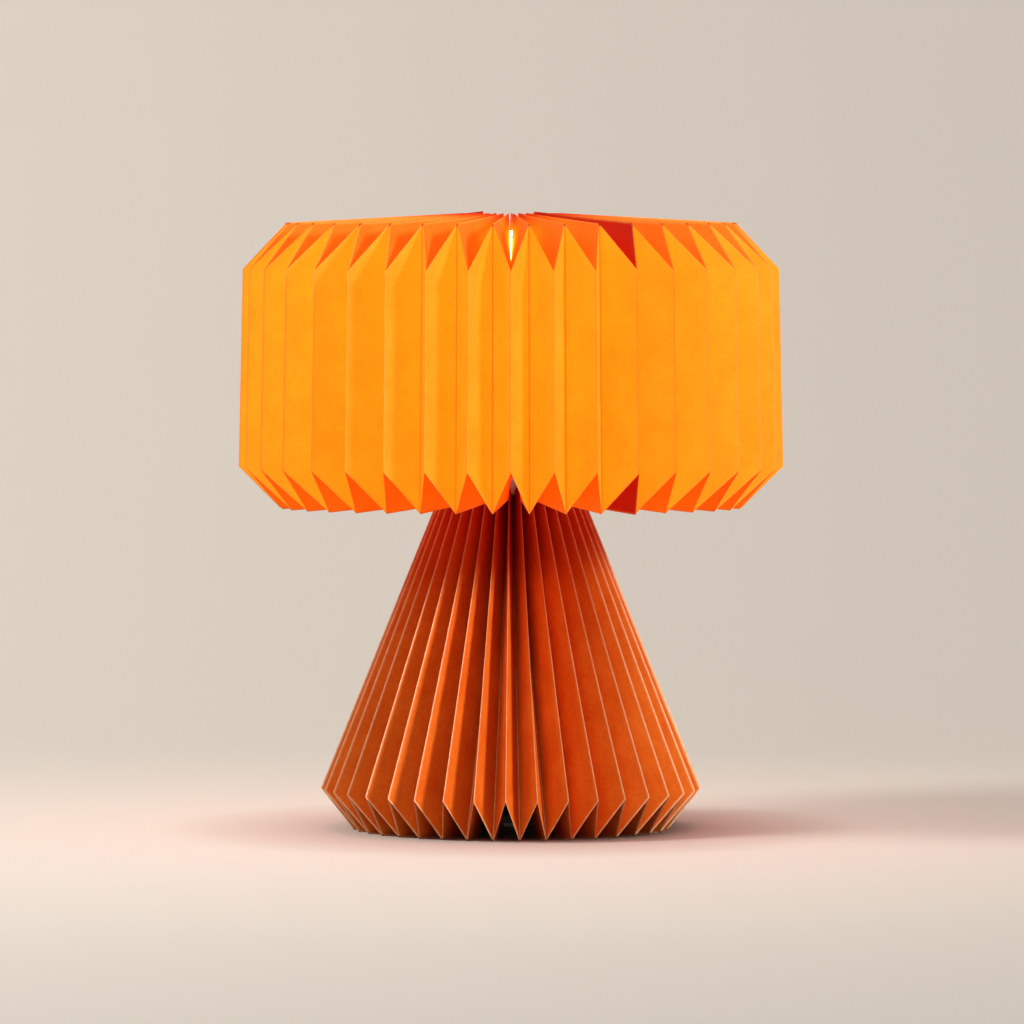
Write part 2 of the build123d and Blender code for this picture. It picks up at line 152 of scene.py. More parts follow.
class Wiring:
    """The nodes of one material, round its Principled shader."""

    def __init__(self, name: str) -> None:
        """Starts a material with only its shader and output."""
        self.material = bpy.data.materials.new(name)
        self.material.use_nodes = True
        self.tree = self.material.node_tree
        self.shader = self.tree.nodes["Principled BSDF"]

    def set(self, **values: Any) -> None:
        """Sets sockets of the shader by name, with _ for a space."""
        for key, value in values.items():
            self.shader.inputs[key.replace("_", " ")].default_value = value

    def add(
        self, kind: str, inputs: dict[Any, Any] | None = None, **settings: Any
    ) -> bpy.types.Node:
        """Adds a node.

        Args:
            kind: the node's type without the ShaderNode prefix.
            inputs: socket name or number to a value or to the output that feeds it.
            settings: properties of the node.

        Returns:
            The new node.
        """
        node = self.tree.nodes.new("ShaderNode" + kind)
        for key, value in settings.items():
            setattr(node, key, value)
        for key, value in (inputs or {}).items():
            socket = node.inputs[key]
            if isinstance(value, Socket):
                self.tree.links.new(value, socket)
            else:
                socket.default_value = value
        return node

    def drive(self, key: str, source: Socket) -> None:
        """Feeds one of the shader's sockets."""
        self.tree.links.new(source, self.shader.inputs[key])

    def place(self, scale: Triple = (1.0, 1.0, 1.0)) -> Socket:
        """Object coordinates, scaled."""
        source = self.add("TexCoord").outputs["Object"]
        return self.add("Mapping", {"Vector": source, "Scale": scale}).outputs["Vector"]

    def place_on_sheet(self, squash: float = 1.0, turn: float = 0.0) -> Socket:
        """UV coordinates, squashed along the sheet's height and turned in its plane."""
        inputs = {
            "Vector": self.add("TexCoord").outputs["UV"],
            "Scale": (1.0, squash, 1.0),
            "Rotation": (0.0, 0.0, turn),
        }
        return self.add("Mapping", inputs).outputs["Vector"]

    def read(self, name: str, output: str = "Fac") -> Socket:
        """What is painted on the mesh under a name."""
        return self.add("Attribute", attribute_name=name).outputs[output]

    def noise(
        self, place: Socket, scale: float, detail: float = 3.0, rough: float = 0.55
    ) -> Socket:
        """Soft noise from 0 to 1 with so many blotches to the metre."""
        inputs = {"Vector": place, "Scale": scale, "Detail": detail, "Roughness": rough}
        return self.add("TexNoise", inputs).outputs["Fac"]

    def span(
        self, source: Socket, low: float, high: float, to_low: float = 0.0, to_high: float = 1.0
    ) -> Socket:
        """Stretches the span from low to high onto to_low to to_high, and clamps it."""
        inputs = {
            "Value": source,
            "From Min": low,
            "From Max": high,
            "To Min": to_low,
            "To Max": to_high,
        }
        return self.add("MapRange", inputs, clamp=True).outputs["Result"]

    def math(self, way: str, first: Any, second: Any = 0.0, clamp: bool = False) -> Socket:
        """Two numbers, joined in one of the Math node's ways."""
        return self.add("Math", {0: first, 1: second}, operation=way, use_clamp=clamp).outputs[0]

    def times(self, first: Any, second: Any) -> Socket:
        """The product of two numbers."""
        return self.math("MULTIPLY", first, second)

    def length(self, x: Any, y: Any, z: Any = 0.0) -> Socket:
        """The length of a vector."""
        vector = self.add("CombineXYZ", {"X": x, "Y": y, "Z": z}).outputs[0]
        return self.add("VectorMath", {0: vector}, operation="LENGTH").outputs["Value"]

    def dim(self, colour: Any, share: Socket) -> Socket:
        """A colour times a number."""
        grey = self.add("CombineColor", {0: share, 1: share, 2: share}).outputs[0]
        return self.blend(1.0, colour, grey, "MULTIPLY")

    def blend(self, share: Any, first: Any, second: Any, way: str = "MIX") -> Socket:
        """Two colours, mixed or multiplied by a share."""
        node = self.add("Mix", data_type="RGBA", blend_type=way)
        for key, value in (("Factor", share), ("A", first), ("B", second)):
            wanted = [s for s in node.inputs if s.name == key and s.enabled][0]
            if isinstance(value, Socket):
                self.tree.links.new(value, wanted)
            else:
                wanted.default_value = (*value, 1.0) if isinstance(value, tuple) else value
        return [s for s in node.outputs if s.enabled][0]

    def bump(self, height: Socket, depth: float, under: Socket | None = None) -> Socket:
        """A bump of the given depth in metres, over an earlier one."""
        node = self.add("Bump", {"Height": height, "Distance": depth, "Strength": 1.0})
        if under is not None:
            self.tree.links.new(under, node.inputs["Normal"])
        return node.outputs["Normal"]


WAVE_RINGS = 20.0 / (2.0 * pi)
"""Rings to the metre that Blender's wave texture draws at scale 1."""


class Grain(Enum):
    """How a solid finish is grained."""

    BRUSHED = "fine scratches round the axis"
    TURNED = "rings of a screw thread"
    CAST = "soft orange peel"
    MOULDED = "fine matt speckle"
    GLAZED = "long slow waves"


@dataclass(frozen=True)
class SolidFinish:
    """Finish of a metal, plastic, rubber, ceramic or painted piece.

    Fields: slot in the record, colour and the shade in its speckles, metallic, the
    roughness between its smooth and worn spots, the grain and its depth, the pitch of a
    thread, the strength of its own light, and how clear it is.
    """

    slot: str
    colour: Colour
    shade: Colour
    metallic: float
    smooth: float
    worn: float
    grain: Grain
    depth: float = 0.00002
    pitch: float = 0.001
    light: float = 0.0
    clear: float = 0.0

    def grain_height(self, wiring: Wiring) -> Socket:
        """Height of the grain, from 0 to 1."""
        if self.grain is Grain.BRUSHED:
            return wiring.noise(wiring.place((1.0, 1.0, 30.0)), 90.0, 5.0, 0.7)
        if self.grain is Grain.TURNED:
            rings = 1.0 / self.pitch / WAVE_RINGS
            inputs = {"Vector": wiring.place(), "Scale": rings, "Distortion": 0.0}
            way = {"wave_type": "BANDS", "bands_direction": "Z", "wave_profile": "SIN"}
            return wiring.add("TexWave", inputs, **way).outputs["Fac"]
        scales = {Grain.CAST: 420.0, Grain.MOULDED: 1600.0, Grain.GLAZED: 70.0}
        return wiring.noise(wiring.place(), scales[self.grain], 2.0)

    def material(self) -> bpy.types.Material:
        """Builds the finish."""
        wiring = Wiring(self.slot if self.grain is not Grain.TURNED else self.slot + "_thread")
        cloud = wiring.noise(wiring.place(), 65.0, 4.0, 0.6)
        height = self.grain_height(wiring)
        tone = wiring.blend(wiring.span(cloud, 0.3, 0.7), self.shade, self.colour)
        # The grain's low places are a tenth darker; on the turned threads this is painted shade in
        # the grooves.
        wiring.drive("Base Color", wiring.dim(tone, wiring.span(height, 0.25, 0.75, 0.9, 1.0)))
        wiring.drive("Roughness", wiring.span(cloud, 0.35, 0.65, self.smooth, self.worn))
        wiring.drive("Normal", wiring.bump(height, self.depth))
        wiring.set(Metallic=self.metallic)
        if self.clear:
            wiring.set(Transmission_Weight=self.clear, IOR=1.5)
        if self.light:
            wiring.drive("Emission Color", tone)
            wiring.set(Emission_Strength=self.light)
        return wiring.material


@dataclass(frozen=True)
class PaperFinish:
    """Dyed paper: cloudy pulp, fibres, worn folds, painted shade and the lamp's light in it.

    Fields: slot and name; colours of the pale and the deep pulp, of the painted shade on
    doubled and tightly packed paper, of the folds, paler from wear and a painted highlight,
    of the cut edges and of the punched holes; the share of colour that a fold wears off or
    is painted lighter, and how much of the light a fold and a hole hold back; blotches to
    the metre in the clouds, pulp, speckle, fibres, scratches and wear.
    """

    slot: str = "orange_paper"
    name: str = "orange_paper"
    pale: Colour = (0.82, 0.122, 0.009)
    deep: Colour = (0.74, 0.092, 0.005)
    painted_shade: Colour = (0.22, 0.0015, 0.0005)
    fold: Colour = (0.88, 0.32, 0.05)
    edge: Colour = (0.8, 0.2, 0.04)
    hole: Colour = (0.2, 0.004, 0.002)
    fold_wear_and_highlight: float = 1.0
    fold_shade: float = 0.85
    hole_shade: float = 0.85
    clouds: float = 38.0
    pulp: float = 420.0
    speckle: float = 1300.0
    fibres: float = 2600.0
    scratches: float = 1500.0
    wear: float = 260.0

    def tone(self, wiring: Wiring, share: Socket, crease: Socket, hole: Socket) -> Socket:
        """Colour of the paper: pulp, scratches, painted shade, worn and highlit folds, edges,
        holes.
        """
        tone = wiring.blend(wiring.span(share, 0.38, 0.62), self.deep, self.pale)
        scratches = wiring.noise(wiring.place_on_sheet(0.02, 1.15), self.scratches, 2.0)
        tone = wiring.blend(wiring.span(scratches, 0.68, 0.74, 0.0, 0.16), tone, self.fold)
        # Painted shade: doubled and tightly packed paper, and the foot's neck, darkened to the
        # shade colour.
        tone = wiring.blend(wiring.read("painted_shade"), tone, self.painted_shade)
        # The folds go paler: partly real wear, partly a painted highlight along the creases.
        patchy = wiring.span(wiring.noise(wiring.place_on_sheet(), self.wear), 0.35, 0.6, 0.7, 1.0)
        worn = wiring.times(wiring.times(crease, patchy), self.fold_wear_and_highlight)
        tone = wiring.blend(worn, tone, self.fold)
        tone = wiring.blend(wiring.read("rim"), tone, self.edge)
        return wiring.blend(hole, tone, self.hole)

    def material(self) -> bpy.types.Material:
        """Builds the paper.

        The colour is a mix of the two pulps by slow and quick noise, with thin scratches
        over it, darkened by painted shade over doubled and packed paper, then paler along the
        folds, partly from wear and partly as a painted highlight. The light is the sheet's own
        painted glow, a little uneven and weaker on the folds.
        """
        wiring = Wiring(self.name)
        crease, hole = wiring.read("crease"), wiring.read("punch")
        solid = wiring.place()
        clouds = wiring.noise(solid, self.clouds, 5.0, 0.6)
        pulp = wiring.noise(solid, self.pulp, 4.0, 0.65)
        fibres = wiring.noise(wiring.place_on_sheet(0.12, 0.5), self.fibres)
        speckle = wiring.noise(solid, self.speckle, 2.0, 0.6)
        share = wiring.math("ADD", wiring.times(clouds, 0.6), wiring.times(pulp, 0.4))
        wiring.drive("Base Color", self.tone(wiring, share, crease, hole))
        wiring.drive("Roughness", wiring.span(pulp, 0.3, 0.7, 0.6, 0.78))
        mottled = wiring.span(share, 0.35, 0.65, 0.9, 1.08)
        even = wiring.times(mottled, wiring.span(speckle, 0.3, 0.7, 0.94, 1.05))
        held = wiring.span(crease, 0.0, 1.0, 1.0, 1.0 - self.fold_shade)
        left = wiring.span(hole, 0.0, 1.0, 1.0, 1.0 - self.hole_shade)
        power = wiring.times(wiring.times(even, held), left)
        wiring.drive("Emission Color", wiring.dim(wiring.read("glow", "Color"), power))
        wiring.set(Emission_Strength=1.0, Specular_IOR_Level=0.1)
        relief = wiring.bump(pulp, 0.00004, wiring.bump(fibres, 0.00003))
        wiring.drive("Normal", wiring.bump(clouds, 0.0004, relief))
        return wiring.material


@dataclass(frozen=True)
class ThreadFinish:
    """Cotton thread with loose fibres, painted darker in the hollows between its strands as shade.
    """

    slot: str = "gather_thread"
    lit: Colour = (0.78, 0.36, 0.1)
    hollow: Colour = (0.34, 0.1, 0.02)
    fuzz: Colour = (0.9, 0.6, 0.3)

    def material(self) -> bpy.types.Material:
        """Builds the thread, whose strands are painted on it as their height."""
        wiring = Wiring(self.slot)
        fibres = wiring.noise(wiring.place_on_sheet(0.2, 0.6), 5000.0)
        # Painted shade: the strands' hollows take the dark hollow colour, their tops the lit one.
        tone = wiring.blend(wiring.span(wiring.read("strand"), 0.1, 0.9), self.hollow, self.lit)
        loose = wiring.span(fibres, 0.4, 0.7, 0.0, 0.3)
        wiring.drive("Base Color", wiring.blend(loose, tone, self.fuzz))
        wiring.drive("Roughness", wiring.span(fibres, 0.3, 0.7, 0.75, 0.95))
        wiring.drive("Normal", wiring.bump(fibres, 0.00006))
        wiring.set(Sheen_Weight=0.3)
        return wiring.material


@dataclass(frozen=True)
class OpalFinish:
    """Opal glass of the lit bulb: paler over the filaments than at the neck."""

    slot: str = "opal_glass"
    hot: Colour = (1.0, 0.86, 0.5)
    warm: Colour = (1.0, 0.62, 0.24)
    milk: Colour = (0.9, 0.87, 0.8)
    white: Colour = (0.96, 0.94, 0.9)
    light: float = 8.0
    neck_level: float = 0.366
    crown_level: float = 0.392

    def material(self) -> bpy.types.Material:
        """Builds the glass. Its light goes from warm to hot between the two levels."""
        wiring = Wiring(self.slot)
        place = wiring.place()
        height = wiring.add("SeparateXYZ", {0: place}).outputs["Z"]
        milky = wiring.noise(place, 120.0)
        share = wiring.span(height, self.neck_level, self.crown_level)
        wiring.drive("Emission Color", wiring.blend(share, self.warm, self.hot))
        tone = wiring.blend(wiring.span(milky, 0.3, 0.7), self.milk, self.white)
        wiring.drive("Base Color", tone)
        wiring.drive("Roughness", wiring.span(milky, 0.3, 0.7, 0.28, 0.4))
        wiring.set(Emission_Strength=self.light)
        return wiring.material


ZINC = SolidFinish(
    "zinc_steel", (0.72, 0.72, 0.7), (0.52, 0.53, 0.54), 1.0, 0.28, 0.46, Grain.BRUSHED
)
ZINC_THREAD = SolidFinish(
    "zinc_steel", (0.7, 0.7, 0.68), (0.5, 0.5, 0.5), 1.0, 0.3, 0.5, Grain.TURNED, 0.0003, 0.001
)
COATED = SolidFinish(
    "coated_steel", (0.83, 0.8, 0.75), (0.76, 0.73, 0.68), 0.0, 0.4, 0.55, Grain.CAST, 0.00006
)
# Near-black enamel for the weight plate: a plausible coat, made this dark partly as painted shade
# where the plate shows in the foot's front notches.
SHADE_DARK_ENAMEL = SolidFinish(
    "coated_steel", (0.09, 0.075, 0.065), (0.055, 0.045, 0.04), 0.0, 0.45, 0.6, Grain.CAST,
    0.00006,
)
RUBBER = SolidFinish(
    "black_rubber", (0.05, 0.05, 0.052), (0.03, 0.03, 0.03), 0.0, 0.65, 0.85, Grain.MOULDED,
    0.00008,
)
PLASTIC = SolidFinish(
    "white_plastic", (0.84, 0.82, 0.78), (0.78, 0.75, 0.7), 0.0, 0.35, 0.5, Grain.MOULDED, 0.00003
)
PLASTIC_THREAD = SolidFinish(
    "white_plastic", (0.84, 0.82, 0.78), (0.76, 0.73, 0.68), 0.0, 0.35, 0.5, Grain.TURNED,
    0.0008, 0.003,
)
SLEEVING = SolidFinish(
    "wire_sleeving", (0.3, 0.16, 0.09), (0.2, 0.1, 0.055), 0.0, 0.5, 0.7, Grain.MOULDED, 0.0001
)
PORCELAIN = SolidFinish(
    "porcelain", (0.88, 0.87, 0.83), (0.8, 0.79, 0.74), 0.0, 0.12, 0.25, Grain.GLAZED, 0.0001
)
BRASS = SolidFinish("brass", (0.8, 0.6, 0.28), (0.62, 0.42, 0.18), 1.0, 0.25, 0.42, Grain.BRUSHED)
CAP_METAL = SolidFinish(
    "cap_metal", (0.8, 0.8, 0.78), (0.62, 0.62, 0.6), 1.0, 0.25, 0.4, Grain.BRUSHED
)
CLEAR_GLASS = SolidFinish(
    "clear_glass", (0.92, 0.95, 0.94), (0.86, 0.9, 0.89), 0.0, 0.03, 0.08, Grain.GLAZED, 0.00005,
    clear=0.9,
)
BLACK_GLASS = SolidFinish(
    "black_glass", (0.03, 0.03, 0.035), (0.015, 0.015, 0.02), 0.0, 0.08, 0.2, Grain.GLAZED, 0.0001
)
FILAMENT = SolidFinish(
    "filament", (1.0, 0.72, 0.3), (1.0, 0.55, 0.16), 0.0, 0.4, 0.5, Grain.MOULDED, 0.00004,
    light=6.0,
)


def dress(finish: SolidFinish | OpalFinish, *nodes: str) -> None:
    """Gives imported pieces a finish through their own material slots."""
    material = finish.material()
    for name in nodes:
        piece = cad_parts[name]
        if not piece.material_slots:
            piece.data.materials.append(material)
        for slot in piece.material_slots:
            slot.material = material
        log.info("%s dressed in %s", name, material.name)


def add_piece(
    skin: Skin, name: str, finish: PaperFinish | ThreadFinish, body: str, *nodes: str
) -> bpy.types.Object:
    """Makes a piece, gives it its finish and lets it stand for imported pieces."""
    piece = skin.piece(name)
    piece.data.materials.append(finish.material())
    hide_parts(*nodes)
    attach(piece, body)
    log.info("%s: %d faces, for %s on %s", name, len(skin.faces), ", ".join(nodes), body)
    return piece


# ---------------------------------------------------------------- folded paper


@dataclass(frozen=True)
class Ring:
    """A ring of fold corners.

    Fields: (radius, height) of the outer and of the inner folds, the turn of the whole
    ring, its drop at the lamp's sides, how closely its folds crowd at the front and over
    what angle, and how far they have slipped round at the back.
    """

    outer: Corner
    inner: Corner
    twist: float = 0.0
    sag: float = 0.0
    crowding: float = 0.0
    crowded: float = 0.45
    slip: float = 0.0

    def turned(self, azimuth: np.ndarray, start: float) -> np.ndarray:
        """Azimuths of the ring's folds.

        The pleats' azimuth plus the twist. Gathered folds also crowd by a sine under a bell
        curve round the front, and slip by half of one less the cosine towards the back.

        Args:
            azimuth: the folds' azimuths in the sheet.
            start: the sheet's own turn round the lamp.

        Returns:
            The azimuths, still without the sheet's own turn.
        """
        facing = (azimuth + start + pi) % (2.0 * pi) - pi
        crowd = self.crowding * np.sin(facing) * np.exp(-((facing / self.crowded) ** 2))
        return azimuth + self.twist - crowd + self.slip * (1.0 - np.cos(facing)) / 2.0

    def fold(self, side: int) -> Corner:
        """The outer fold's corner for side 0, and the inner fold's for side 1."""
        return self.inner if side else self.outer


@dataclass(frozen=True)
class Pleats:
    """How the folds stand round the lamp: even columns are outer folds.

    Fields: number of outer folds, how far they bunch, and the turn of them all.
    """

    count: int = 38
    bunching: float = 0.0
    turn: float = 0.0

    def azimuths(self, columns: np.ndarray) -> np.ndarray:
        """Equal steps round the lamp, less a sine of twice the azimuth that crowds them."""
        even = columns * pi / self.count
        return even + self.turn - self.bunching * np.sin(2.0 * even)


@dataclass
class LampLight:
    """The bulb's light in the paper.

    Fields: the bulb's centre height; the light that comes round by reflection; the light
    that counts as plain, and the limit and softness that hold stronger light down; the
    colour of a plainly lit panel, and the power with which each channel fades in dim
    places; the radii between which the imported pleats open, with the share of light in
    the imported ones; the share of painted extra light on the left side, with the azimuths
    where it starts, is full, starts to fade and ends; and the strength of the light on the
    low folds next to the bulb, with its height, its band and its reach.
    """

    height: float = 0.3945
    reflected: float = 0.8
    reference: float = 0.44 / 0.185**2
    limit: float = 2.2
    softness: float = 1.7
    plain: Colour = (0.72, 0.265, 0.004)
    fading: Triple = (0.2, 1.15, 3.0)
    packed: float = 0.033
    loose: float = 0.105
    packed_share: float = 0.02
    left_light: float = 0.13
    left_light_from: float = radians(46.8)
    left_light_full: float = radians(47.8)
    left_light_fades: float = radians(110)
    left_light_to: float = radians(170)
    hot: float = 7.0
    hot_height: float = 0.406
    hot_band: float = 0.012
    hot_reach: float = 0.05

    def level(self, points: np.ndarray, normals: np.ndarray) -> np.ndarray:
        """Share of plain light in each point.

        A reflected share, plus the bulb's light by the cosine of its angle to the paper
        over the distance squared, measured against a panel of the wall, and limited
        softly where the paper comes near the bulb. Near the roof's opening the pleats lie
        packed one behind the other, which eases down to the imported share. The low folds
        beside the bulb get its hot light, by a bell curve of distance and height.
        """
        way = np.array([0.0, 0.0, self.height]) - points
        distance = np.linalg.norm(way, axis=-1)
        slant = np.abs((way * normals).sum(-1)) / distance
        direct = slant / distance**2 / self.reference
        limited = self.limit * (1.0 - np.exp(-direct / self.softness))
        even = self.reflected + (1.0 - self.reflected) * limited
        # Painted extra light on the panels of the left side, over a band of azimuths.
        left = np.arctan2(-points[..., 0], -points[..., 1])
        fades = 1.0 - ease(self.left_light_fades, self.left_light_to, left)
        left_light = 1.0 + self.left_light * ease(self.left_light_from, self.left_light_full, left) * fades
        opened = 1.0 - self.packing(points)
        even = even * left_light * (self.packed_share + (1.0 - self.packed_share) * opened)
        away = np.hypot(points[..., 0], points[..., 1]) - self.packed
        over = points[..., 2] - self.hot_height
        hot = np.exp(-((away / self.hot_reach) ** 2) - (over / self.hot_band) ** 2)
        return even + self.hot * hot

    def packing(self, points: np.ndarray) -> np.ndarray:
        """How tightly the pleats lie together: 1 at the roof's opening, easing to 0."""
        return 1.0 - ease(self.packed, self.loose, np.hypot(points[..., 0], points[..., 1]))

    def colour(self, level: np.ndarray) -> np.ndarray:
        """Each channel is the plain one times the level to its fading power."""
        return np.array(self.plain) * np.maximum(level, 0.0)[..., None] ** np.array(self.fading)


@dataclass(frozen=True)
class Lattice:
    """Where a sheet's points lie.

    Fields: for each row its band between two rings and its share along that band, for
    each column its panel and its share across that panel, and the bands' lengths.
    """

    band: np.ndarray
    along: np.ndarray
    panel: np.ndarray
    across: np.ndarray
    lengths: np.ndarray

    @property
    def shape(self) -> tuple[int, int]:
        """Rows and columns."""
        return len(self.band), len(self.panel)


@dataclass
class FoldedSheet:
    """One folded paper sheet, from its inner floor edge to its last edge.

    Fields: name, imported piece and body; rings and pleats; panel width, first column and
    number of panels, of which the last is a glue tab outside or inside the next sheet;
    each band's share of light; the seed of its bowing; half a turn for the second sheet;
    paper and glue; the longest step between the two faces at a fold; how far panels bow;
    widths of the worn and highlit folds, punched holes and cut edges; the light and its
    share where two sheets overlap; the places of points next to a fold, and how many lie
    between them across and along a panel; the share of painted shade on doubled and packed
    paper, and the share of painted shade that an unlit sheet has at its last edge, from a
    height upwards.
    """

    name: str
    node: str
    body: str
    finish: PaperFinish
    rings: tuple[Ring, ...]
    pleats: Pleats
    panel: float
    first: int
    panels: int
    tab_outside: bool
    zone_light: tuple[float, ...]
    seed: int
    opposite: bool = False
    paper: float = 0.0003
    glue: float = 0.00005
    crease_reach: float = 0.001
    bow: float = 0.0005
    crease_width: float = 0.0014
    hole_radius: float = 0.0011
    hole_reach: float = 1.6
    rim_width: float = 0.0006
    light: LampLight | None = None
    doubled_light: float = 0.05
    near_fold: tuple[float, ...] = (0.0, 0.00035, 0.0008, 0.0018, 0.0045)
    across: int = 5
    along: int = 11
    painted_shade_share: float = 0.9
    last_edge_shade: float = 0.0
    last_edge_shade_from: float = 0.17

    def step(self, index: int, side: int) -> Corner:
        """Step in (radius, height) from the outer to the inner face at one kind of corner.

        Each fold line's inner face lies behind its outer face by the paper's thickness
        over the sine of the fold's half angle. At a ring the two offset lines meet, which
        two equations give.
        """
        here = self.rings[index].fold(side)
        beside = self.rings[index].fold(1 - side)
        turn = pi / self.pleats.count
        across = beside[0] * sin(turn)
        normals = []
        for low, high in ((index - 1, index), (index, index + 1)):
            if low >= 0 and high < len(self.rings):
                start, end = self.rings[low].fold(side), self.rings[high].fold(side)
                length = hypot(end[0] - start[0], end[1] - start[1])
                normals.append(((end[1] - start[1]) / length, (start[0] - end[0]) / length))
        steps = []
        for normal in normals:
            deep = (beside[0] * cos(turn) - here[0]) * normal[0] + (beside[1] - here[1]) * normal[1]
            steps.append(min(self.paper * hypot(deep, across) / across, self.crease_reach))
        if len(normals) == 1:
            return -steps[0] * normals[0][0], -steps[0] * normals[0][1]
        (a, b), (c, d) = normals
        spread = a * d - b * c
        return (steps[1] * b - steps[0] * d) / spread, (steps[0] * c - steps[1] * a) / spread

    def corners(self, depth: float) -> np.ndarray:
        """Fold corners of one face of the sheet, as (rings, columns, 3).

        A corner is the radius times the sine and minus cosine of its azimuth, at its
        height less the sag times the squared sine. The glue tab is one sheet further out
        or in.
        """
        columns = np.arange(self.first, self.first + self.panels + 1)
        side = columns % 2
        azimuth = self.pleats.azimuths(columns)
        lift = (1.0 + self.glue / self.paper) * (-1.0 if self.tab_outside else 1.0)
        shares = depth + np.where(columns >= self.first + self.panels - 1, lift, 0.0)
        rows = []
        for index, ring in enumerate(self.rings):
            steps = np.array([self.step(index, 0), self.step(index, 1)])[side]
            base = np.array([ring.outer, ring.inner])[side] + shares[:, None] * steps
            turned = ring.turned(azimuth, pi if self.opposite else 0.0)
            drop = ring.sag * np.sin(azimuth) ** 2
            reach = base[:, 0]
            level = base[:, 1] - drop
            rows.append(flat_stack(reach * np.sin(turned), -reach * np.cos(turned), level))
        return np.array(rows)

    def spread(self, length: float, inner: int) -> np.ndarray:
        """Places along a line, close together near its two folds and even between them."""
        near = np.array(self.near_fold) / length
        middle = np.linspace(near[-1], 1.0 - near[-1], inner + 2)[1:-1]
        return np.concatenate([near, middle, 1.0 - near[::-1]])

    def lattice(self, corners: np.ndarray) -> Lattice:
        """Rows and columns of points. Neighbouring bands and panels share their fold."""
        lengths = np.linalg.norm(corners[1:, 1] - corners[:-1, 1], axis=-1)
        rows = [self.spread(length, self.along) for length in lengths]
        rows = [rows[0]] + [row[1:] for row in rows[1:]]
        column = self.spread(self.panel, self.across)
        columns = [column] + [column[1:]] * (self.panels - 1)
        return Lattice(
            band=np.repeat(np.arange(len(rows)), [len(row) for row in rows]),
            along=np.concatenate(rows),
            panel=np.repeat(np.arange(self.panels), [len(part) for part in columns]),
            across=np.concatenate(columns),
            lengths=lengths,
        )

    def doubled(self, at: Lattice) -> np.ndarray:
        """Which columns lie in the two panels that overlap the other sheet's."""
        return (at.panel == 0) | (at.panel == self.panels - 1)

    def span_panels(self, corners: np.ndarray, at: Lattice) -> tuple[np.ndarray, np.ndarray]:
        """One face's points and its normals.

        Each panel is the ruled surface between its four corners: the corners weighted by
        their shares across and along.
        """
        low, high = corners[at.band], corners[at.band + 1]
        low_left, low_right = low[:, at.panel], low[:, at.panel + 1]
        high_left, high_right = high[:, at.panel], high[:, at.panel + 1]
        t, s = at.along[:, None, None], at.across[None, :, None]
        low_line = low_left * (1 - s) + low_right * s
        high_line = high_left * (1 - s) + high_right * s
        right = (low_right - low_left) * (1 - t) + (high_right - high_left) * t
        up = (high_left - low_left) * (1 - s) + (high_right - low_right) * s
        normal = np.cross(right, up)
        normal /= np.linalg.norm(normal, axis=-1, keepdims=True)
        return low_line * (1 - t) + high_line * t, normal

    def bowing(self, at: Lattice) -> np.ndarray:
        """How far each point bows out of its flat panel.

        The sine of the share across times a slow wave along, and nothing at the folds
        and in the glued panels.
        """
        chance = np.random.default_rng(self.seed)
        size = (len(at.lengths), self.panels)
        lean = chance.uniform(-1.0, 1.0, size)
        wave = chance.uniform(0.0, 2.0 * pi, size)
        pace = chance.uniform(0.6, 1.7, size)
        pick = (at.band[:, None], at.panel[None, :])
        turns = 2.0 * pi * pace[pick] * at.along[:, None] + wave[pick]
        swell = lean[pick] * 0.6 + 0.4 * np.sin(turns)
        hold = np.sin(pi * at.across)[None, :] * np.sin(pi * at.along)[:, None] ** 0.5
        return self.bow * swell * hold * np.where(self.doubled(at), 0.0, 1.0)[None, :]

    def painting(
        self, points: np.ndarray, normals: np.ndarray, at: Lattice
    ) -> dict[str, np.ndarray]:
        """What is painted on one face: its folds, holes, cut edges, painted shade and glow."""
        last = len(at.lengths) - 1
        off_fold = (np.minimum(at.across, 1.0 - at.across) * self.panel)[None, :]
        off_ring = np.minimum(at.along, 1.0 - at.along) * at.lengths[at.band]
        cut = (at.band == 0) & (at.along < 0.5) | (at.band == last) & (at.along > 0.5)
        rim = np.where(cut, np.clip(1.0 - off_ring / self.rim_width, 0.0, 1.0), 0.0)[:, None]
        off_ring = np.where(cut, 1.0, off_ring)[:, None]
        crease = np.clip(1.0 - np.minimum(off_fold, off_ring) / self.crease_width, 0.0, 1.0)
        valley = (self.first + at.panel + (at.across > 0.5)) % 2 == 1
        top_ring = (at.band == last - 1) & (at.along > 0.5) | (at.band == last) & (at.along < 0.5)
        near = self.hole_reach - np.hypot(off_fold, off_ring) / self.hole_radius
        punch = np.where(valley[None, :] & top_ring[:, None], np.clip(near, 0.0, 1.0), 0.0)
        if self.light is None:
            # Painted shade: an unlit sheet, the foot, darkens towards its last edge at the neck
            # under the lampshade.
            painted_shade = self.last_edge_shade * ease(self.last_edge_shade_from, self.rings[-1].outer[1], points[..., 2])
            glow = np.zeros_like(points)
        else:
            packing = self.light.packing(points) * (at.band == last)[:, None]
            # Painted shade on the doubled panels and on the packed paper round the roof's opening.
            painted_shade = self.painted_shade_share * np.maximum(self.doubled(at)[None, :], packing)
            crease = crease * (1.0 - packing)
            glow = self.glow(points, normals, at)
        flat = {"crease": crease, "punch": punch, "rim": rim, "painted_shade": painted_shade}
        paint = {key: np.broadcast_to(values, at.shape).ravel() for key, values in flat.items()}
        return {**paint, "glow": glow.reshape(-1, 3)}

    def glow(self, points: np.ndarray, normals: np.ndarray, at: Lattice) -> np.ndarray:
        """The lamp's light by each band's share, and little of it where two sheets overlap."""
        level = self.light.level(points, normals) * np.array(self.zone_light)[at.band][:, None]
        share = np.where(self.doubled(at), self.doubled_light, 1.0)
        return self.light.colour(level * share[None, :])

